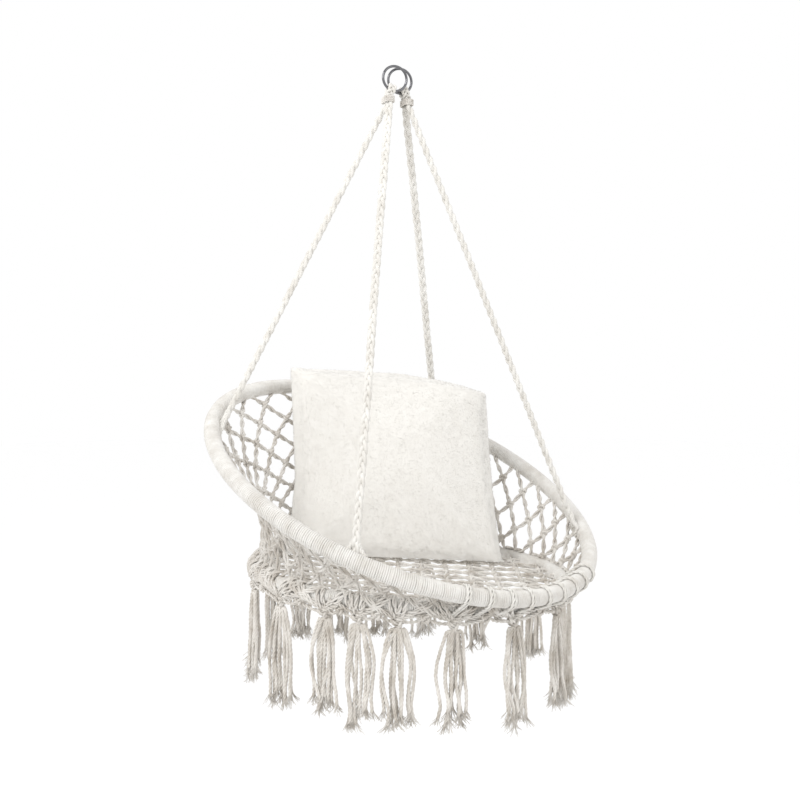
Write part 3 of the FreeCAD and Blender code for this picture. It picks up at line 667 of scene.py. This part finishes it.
for angle in sorted(seat_ends):
    gaps = [(knot - angle + 180) % 360 - 180 for knot in order]
    for gap in (max(gap for gap in gaps if gap <= 0), min(gap for gap in gaps if gap > 0)):
        for shift in (-DRAPE_PAIR, DRAPE_PAIR):
            drape = [net_point(angle + shift * 0.3, 0.90)]
            drape += [over_hoop(angle + shift + gap * part, turn) for part, turn in DRAPE_STOPS]
            drapes.append([*drape, gathering_knot(angle + gap) + UP * 0.004])
for angle, foot in lashing_feet:
    near = min(order, key=lambda other: abs((other - angle + 180) % 360 - 180))
    swags.append([foot, (foot + gathering_knot(near)) / 2 - UP * 0.004, gathering_knot(near) + UP * 0.002])
knots = lay("gathering_knots", knot_lines, NET_COTTON, closed=True, strands=2, strand_thickness=0.0038,
            across=0.0019, through=0.0017, lay_length=0.022, step=0.0028, sides=6)
knots = joined(knots, lay("net_ends", [flowing(line) for line in drapes], NET_COTTON, strands=2,
                          strand_thickness=0.0040, across=0.0020, through=0.0018, lay_length=0.034,
                          step=0.0032, sides=5, unevenness=0.003))
knots = joined(knots, lay("gathering_swags", [rounded(line) for line in swags], NET_COTTON, strands=2,
                          strand_thickness=0.0034, across=0.0018, through=0.0016, lay_length=0.020,
                          step=0.0030, sides=5, unevenness=0.004))
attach(knots, "chair")
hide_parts("tassel_knots")


# ---- The tassels. Each is five cords of three-ply cotton folded over the knot, hanging in ten
# wavy ends that are cut unevenly and have frayed open into little fans.
# Lit cotton colour, then its painted shade colour.
FRINGE = cotton("fringe_cotton", (0.76, 0.73, 0.685), (0.42, 0.375, 0.315))
TASSEL_LENGTH, TASSEL_UNEVEN, TASSEL_TOP, TASSEL_BOTTOM, FOLDS = 0.172, 0.05, 0.009, 0.024, 5
FOLD_SPREAD, FOLD_DEPTH, FOLD_WIDTH, FOLD_RISE, FOLD_HALF = 0.0095, 0.004, 0.0042, 0.0052, 0.0044
FOLD_TURNS, FRAY_PARTS = (-1.3, -0.8, -0.3, 0.3, 0.8, 1.3), (0.0, 0.35, 0.7, 1.0)
END_SHORT, END_STEPS, FRAYS = 0.014, 14, 18
PIVOT_DROP = KNOT_HEIGHT / 2 + 0.0005 + TASSEL_TOP
for number, angle in enumerate(TASSEL_ANGLES, start=1):
    shake = np.random.default_rng(100 + number)
    pivot = gathering_knot(angle) - UP * PIVOT_DROP
    length = TASSEL_LENGTH * (1 + TASSEL_UNEVEN * math.sin(2.4 * number))
    out = Vector((pivot.x, pivot.y - small.centre.y, 0)).normalized()
    level = UP.cross(out)
    cords, frays = [], []
    for fold in range(FOLDS):
        spread = (fold - (FOLDS - 1) / 2) / ((FOLDS - 1) / 2)
        depth = shake.uniform(-0.6, 0.6)
        crown = UP * (0.0030 - abs(spread) * 0.0015)
        bend = pivot + level * (spread * FOLD_SPREAD) + out * (depth * FOLD_DEPTH) + crown
        top = [bend + level * (FOLD_WIDTH * math.sin(turn)) + UP * (FOLD_RISE * math.cos(turn))
               for turn in FOLD_TURNS]
        halves = []
        for way in (-1, 1):
            foot_level = spread * TASSEL_BOTTOM * 0.75 + way * shake.uniform(0.001, 0.009)
            foot_out = depth * TASSEL_BOTTOM * 0.6 + shake.uniform(-0.004, 0.004)
            drop = length * shake.uniform(0.84, 1.0) - END_SHORT
            wave, start = shake.uniform(0.0015, 0.0045), shake.uniform(0, math.tau)
            bow = shake.uniform(0.0, 0.012) + (0.008 if shake.uniform() > 0.8 else 0.0)
            half = []
            for step in range(1, END_STEPS + 1):
                part = step / END_STEPS
                ripple = wave * math.sin(start + part * 8.5) * part
                bulge = bow * math.sin(math.pi * min(1.0, part * 1.15)) * (way if spread == 0 else spread)
                begin = spread * FOLD_SPREAD + way * FOLD_HALF
                half.append(pivot + level * (begin * (1 - part) + foot_level * part + ripple + bulge)
                            + out * (depth * FOLD_DEPTH * (1 - part) + foot_out * part + ripple * 0.6)
                            + UP * (0.003 * (1 - part) - drop * part))
            halves.append(half)
            tip, run = half[-1], (half[-1] - half[-3]).normalized()
            for hair in range(FRAYS):
                turn, flare = shake.uniform(0, math.tau), shake.uniform(0.15, 0.8)
                aside = (level * math.cos(turn) + out * math.sin(turn)) * flare
                size = shake.uniform(0.010, 0.021)
                root = tip - run * 0.006 + aside * 0.003
                frays.append([root + (run * part + aside * part * part) * size for part in FRAY_PARTS])
        cords.append(list(reversed(halves[0])) + top + halves[1])
    tassel = lay("tassel_%02d_cords" % number, cords, FRINGE, strands=3, strand_thickness=0.0034,
                 across=0.0017, through=0.0017, lay_length=0.024, step=0.0040, sides=5, unevenness=0.002)
    tassel = joined(tassel, lay("tassel_frays", frays, FRINGE, strands=1, strand_thickness=0.0011, across=0.0,
                                through=0.0, step=0.004, sides=3, unevenness=0.004))
    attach(tassel, "tassel_%02d_body" % number)
    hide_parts("tassel_%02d" % number)


# ---- The cushion. A square pad of short white fleece over a loose fibre filling. It stands on
# the seat net, leans back, slumps at one top corner and sags at its lower front edge.
def fleece():
    finish, tree, shader, place = new_finish("fleece")
    pile = node(tree, "ShaderNodeTexNoise",
                {"Vector": place, "Scale": 420.0, "Detail": 5.0, "Roughness": 0.75})
    clump = node(tree, "ShaderNodeTexNoise",
                 {"Vector": place, "Scale": 55.0, "Detail": 4.0, "Roughness": 0.6})
    height = node(tree, "ShaderNodeMath", {0: clump.outputs["Fac"], 1: 0.7, 2: pile.outputs["Fac"]},
                  operation="MULTIPLY_ADD")
    bump = node(tree, "ShaderNodeBump", {"Height": height.outputs[0], "Strength": 0.35, "Distance": 0.0008})
    tone = node(tree, "ShaderNodeValToRGB", {"Fac": clump.outputs["Fac"]})
    tone.color_ramp.elements[0].position = 0.30
    tone.color_ramp.elements[0].color = (0.72, 0.70, 0.66, 1)
    tone.color_ramp.elements[1].position = 0.70
    tone.color_ramp.elements[1].color = (0.765, 0.747, 0.71, 1)
    rough = node(tree, "ShaderNodeMapRange", {"Value": pile.outputs["Fac"], 1: 0.2, 2: 0.8, 3: 0.9, 4: 1.0})
    tree.links.new(tone.outputs["Color"], shader.inputs["Base Color"])
    tree.links.new(rough.outputs["Result"], shader.inputs["Roughness"])
    tree.links.new(bump.outputs["Normal"], shader.inputs["Normal"])
    shader.inputs["Specular IOR Level"].default_value = 0.1
    shader.inputs["Sheen Weight"].default_value = 0.5
    shader.inputs["Sheen Roughness"].default_value = 0.6
    return finish


def pile_tree():
    """Clumped fleece: the skin is roughened, and short tufts stand on it, all a little aslant."""
    tree = bpy.data.node_groups.new("fleece_pile", "GeometryNodeTree")
    for name, kind, value in (("Skin", "Geometry", None), ("Tufts per square metre", "Float", 90000.0),
                              ("Tuft length", "Float", 0.0016), ("Tuft width", "Float", 0.0006),
                              ("Lumpiness", "Float", 0.0012), ("Seed", "Int", 7),
                              ("Finish", "Material", None)):
        socket = tree.interface.new_socket(name, in_out="INPUT", socket_type="NodeSocket" + kind)
        if value is not None:
            socket.default_value = value
    tree.interface.new_socket("Fleece", in_out="OUTPUT", socket_type="NodeSocketGeometry")
    given = node(tree, "NodeGroupInput").outputs
    lumps = node(tree, "ShaderNodeTexNoise", {"Scale": 42.0, "Detail": 4.0, "Roughness": 0.62})
    centred = node(tree, "ShaderNodeMath", {0: lumps.outputs["Fac"], 1: 0.5}, operation="SUBTRACT")
    rise = node(tree, "ShaderNodeMath", {0: centred.outputs[0], 1: given["Lumpiness"]}, operation="MULTIPLY")
    outwards = node(tree, "GeometryNodeInputNormal").outputs[0]
    shift = node(tree, "ShaderNodeVectorMath", {0: outwards, "Scale": rise.outputs[0]}, operation="SCALE")
    skin = node(tree, "GeometryNodeSetPosition", {"Geometry": given["Skin"], "Offset": shift.outputs[0]})
    spots = node(tree, "GeometryNodeDistributePointsOnFaces",
                 {"Mesh": skin.outputs["Geometry"], "Density": given["Tufts per square metre"],
                  "Seed": given["Seed"]})
    tuft = node(tree, "GeometryNodeMeshCone",
                {"Vertices": 3, "Radius Top": 0.0, "Radius Bottom": given["Tuft width"],
                 "Depth": given["Tuft length"]}, fill_type="NONE")
    lean = node(tree, "FunctionNodeRandomValue", data_type="FLOAT_VECTOR")
    lean.inputs[0].default_value = (-0.3, -0.3, 0.0)
    lean.inputs[1].default_value = (0.3, 0.3, 6.28)
    leaning = node(tree, "FunctionNodeRotateRotation",
                   {0: spots.outputs["Rotation"], 1: lean.outputs[0]}, rotation_space="LOCAL")
    grown = node(tree, "FunctionNodeRandomValue", data_type="FLOAT")
    grown.inputs[2].default_value = 0.6
    grown.inputs[3].default_value = 1.4
    stood = node(tree, "GeometryNodeInstanceOnPoints",
                 {"Points": spots.outputs["Points"], "Instance": tuft.outputs["Mesh"],
                  "Rotation": leaning.outputs[0], "Scale": grown.outputs[1]})
    both = node(tree, "GeometryNodeJoinGeometry")
    tree.links.new(stood.outputs["Instances"], both.inputs[0])
    tree.links.new(skin.outputs["Geometry"], both.inputs[0])
    whole = node(tree, "GeometryNodeRealizeInstances", {"Geometry": both.outputs[0]})
    smooth = node(tree, "GeometryNodeSetShadeSmooth", {0: whole.outputs["Geometry"]})
    coloured = node(tree, "GeometryNodeSetMaterial",
                    {"Geometry": smooth.outputs[0], "Material": given["Finish"]})
    done = node(tree, "NodeGroupOutput")
    tree.links.new(coloured.outputs["Geometry"], done.inputs["Fleece"])
    return tree


CUSHION_YAW, CUSHION_LEAN, CUSHION_HALF = -40, 20, Vector((0.2125, 0.065, 0.1975))
VOXEL, CLOTH_FRAMES, SWELL_CAP, SEAT_CLEAR = 0.0055, 20, 0.010, 0.009
TOP_ASIDE, CORNER_SLUMP, TOP_SETTLE, CORNER_FORWARDS = 0.029, 0.046, 0.003, 0.012
FOOT_BULGE, SIDE_PINCH, CORNER_IN, CORNER_DOWN = 0.008, 0.006, 0.010, 0.009
FRONT_SAG, FRONT_EDGE, CUSHION_DEEP, LEFT_BULGE, LEFT_FOOT, CREASE = 0.052, 0.065, 0.13, 0.010, 0.020, 0.004
yaw, lean = math.radians(CUSHION_YAW), math.radians(CUSHION_LEAN)
seat_turn = Matrix.Rotation(math.radians(SEAT_TILT), 3, "X")
faced = seat_turn @ Matrix.Rotation(yaw, 3, "Z")
stance = faced @ Matrix.Rotation(-lean, 3, "X")
cushion_low, cushion_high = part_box("cushion_insert")
cushion_middle = (cushion_low + cushion_high) / 2
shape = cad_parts["cushion_insert"].data.copy()
shape.materials.clear()
pad = bpy.data.objects.new("cushion", shape)
bpy.context.scene.collection.objects.link(pad)


def with_modifiers(thing):
    """Leaves the object with the mesh that its modifiers make."""
    made = bpy.data.meshes.new_from_object(thing.evaluated_get(bpy.context.evaluated_depsgraph_get()))
    thing.modifiers.clear()
    thing.data = made


pad.modifiers.new("welded", "WELD").merge_threshold = 0.0002
with_modifiers(pad)
skin = bmesh.new()
skin.from_mesh(pad.data)
unsorted, shells = set(skin.verts), []
while unsorted:
    shell, edge = set(), {unsorted.pop()}
    while edge:
        shell |= edge
        edge = {link.other_vert(vert) for vert in edge for link in vert.link_edges} - shell
    unsorted -= shell
    shells.append(shell)
outer = max(shells, key=lambda shell: max(vert.co.z for vert in shell))
bmesh.ops.delete(skin, geom=[vert for vert in skin.verts if vert not in outer], context="VERTS")
skin.to_mesh(pad.data)
skin.free()
even = pad.modifiers.new("even", "REMESH")
even.mode = "VOXEL"
even.voxel_size = VOXEL
with_modifiers(pad)
flat = np.empty(len(pad.data.vertices) * 3)
pad.data.vertices.foreach_get("co", flat)
before = flat.reshape(-1, 3).copy()
filled = pad.modifiers.new("filled", "CLOTH")
filled.settings.quality = 5
filled.settings.use_pressure = True
filled.settings.uniform_pressure_force = 4
filled.settings.tension_stiffness = 12
filled.settings.bending_stiffness = 0.4
filled.settings.effector_weights.gravity = 0
filled.point_cache.frame_start, filled.point_cache.frame_end = 1, CLOTH_FRAMES
for moment in range(1, CLOTH_FRAMES + 1):
    bpy.context.scene.frame_set(moment)
with_modifiers(pad)
bpy.context.scene.frame_set(1)
after = np.empty(len(pad.data.vertices) * 3)
pad.data.vertices.foreach_get("co", after)
moved = after.reshape(-1, 3) - before
far = np.linalg.norm(moved, axis=1, keepdims=True)
moved *= np.minimum(1.0, SWELL_CAP / np.maximum(far, 1e-9))
before = before + moved
turned = np.array(stance)
local = (before - np.array(cushion_middle)) @ turned
wide, high = local[:, 0] / CUSHION_HALF.x, local[:, 2] / CUSHION_HALF.z
upper = np.clip((high + 1) / 2, 0, 1)
right, left, top_half, foot_half = [np.clip(part, 0, 1) for part in (wide, -wide, high, -high)]
local[:, 0] -= TOP_ASIDE * upper ** 1.3
right_top = right ** 1.5 * top_half ** 1.5
local[:, 2] -= CORNER_SLUMP * right_top + TOP_SETTLE * top_half * (1 - right)
local[:, 1] -= CORNER_FORWARDS * right_top
local[:, 0] += right * (FOOT_BULGE * foot_half ** 3 - SIDE_PINCH * (1 - high ** 2).clip(0))
corner = np.clip(np.abs(wide), 0, 1) ** 7 * top_half ** 7
local[:, 0] -= CORNER_IN * corner * np.sign(wide)
local[:, 2] -= CORNER_DOWN * corner
low = np.clip((-high - 0.25) / 0.75, 0, 1)
local[:, 2] -= FRONT_SAG * low ** 1.4 * np.clip((FRONT_EDGE - local[:, 1]) / CUSHION_DEEP, 0, 1)
local[:, 0] -= (LEFT_BULGE + LEFT_FOOT * low) * left ** 2
creases = np.array([noise.noise(Vector((x * 9, y * 6, z * 5 + x * 7))) for x, y, z in local])
local[:, 1] += CREASE * creases * np.sign(local[:, 1])
stood = local @ turned.T + np.array(cushion_middle)
height = (stood - np.array(small.centre)) @ np.array(small.axis)
stood += np.outer(np.maximum(0.0, SEAT_CLEAR - height), np.array(small.axis))
pad.data.vertices.foreach_set("co", stood.ravel())
finer = pad.modifiers.new("finer", "SUBSURF")
finer.levels = finer.render_levels = 1
with_modifiers(pad)
bpy.context.scene.collection.objects.unlink(pad)
cushion = worked(pad, pile_tree(), {"Finish": fleece()})
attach(cushion, "cushion")
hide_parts("cushion_cover", "cushion_insert", "cushion_zip")


# ---- The studio. A white floor well below the hanging chair, a big soft lamp at the front left,
# a weaker one at the right, and an even white surround.
FLOOR_LEVEL, FLOOR_REACH = -2.1, 30
FLOOR_CORNERS = ((-1, -1), (1, -1), (1, 1), (-1, 1))
floor_mesh = bpy.data.meshes.new("floor")
floor_mesh.from_pydata([(x * FLOOR_REACH, y * FLOOR_REACH, FLOOR_LEVEL) for x, y in FLOOR_CORNERS],
                       [], [(0, 1, 2, 3)])
floor = bpy.data.objects.new("floor", floor_mesh)
bpy.context.scene.collection.objects.link(floor)
pale, _, pale_shader, _ = new_finish("pale_floor")
pale_shader.inputs["Base Color"].default_value = (1.0, 1.0, 1.0, 1)
pale_shader.inputs["Roughness"].default_value = 1.0
floor_mesh.materials.append(pale)

world = bpy.data.worlds.new("surround")
world.use_nodes = True
world.node_tree.nodes["Background"].inputs["Color"].default_value = (1.0, 1.0, 1.0, 1)
world.node_tree.nodes["Background"].inputs["Strength"].default_value = 1.0
bpy.context.scene.world = world
bpy.context.scene.view_settings.view_transform = "Standard"

RIGHTWARDS = Vector((0.70058, -0.71358, 0.00005))
UPWARDS = Vector((0.00433, 0.00431, 0.99998))
FORWARDS = Vector((0.71356, 0.70056, -0.00611))
MIDDLE = Vector((0, 0, -0.75))
LAMPS = (("key", -1.5, 1.9, 2.0, 1.4, 42), ("fill", 2.2, 0.9, 1.6, 1.6, 8))
for name, aside, above, before_it, size, power in LAMPS:
    lamp = bpy.data.lights.new(name, "AREA")
    lamp.size = size
    lamp.energy = power
    stand = bpy.data.objects.new(name, lamp)
    stand.location = MIDDLE + RIGHTWARDS * aside + UP * above - FORWARDS * before_it
    stand.rotation_euler = (MIDDLE - stand.location).to_track_quat("-Z", "Y").to_euler()
    bpy.context.scene.collection.objects.link(stand)

lens = bpy.data.cameras.new("camera")
lens.lens = 53.27
lens.sensor_width = 36
camera = bpy.data.objects.new("camera", lens)
facing = Matrix((RIGHTWARDS, UPWARDS, -FORWARDS)).transposed().to_4x4()
place = Vector((-1.639, -1.62086, -0.63137)) - RIGHTWARDS * 0.0033 + UPWARDS * 0.0031
camera.matrix_world = Matrix.Translation(place) @ facing
bpy.context.scene.collection.objects.link(camera)
bpy.context.scene.camera = camera
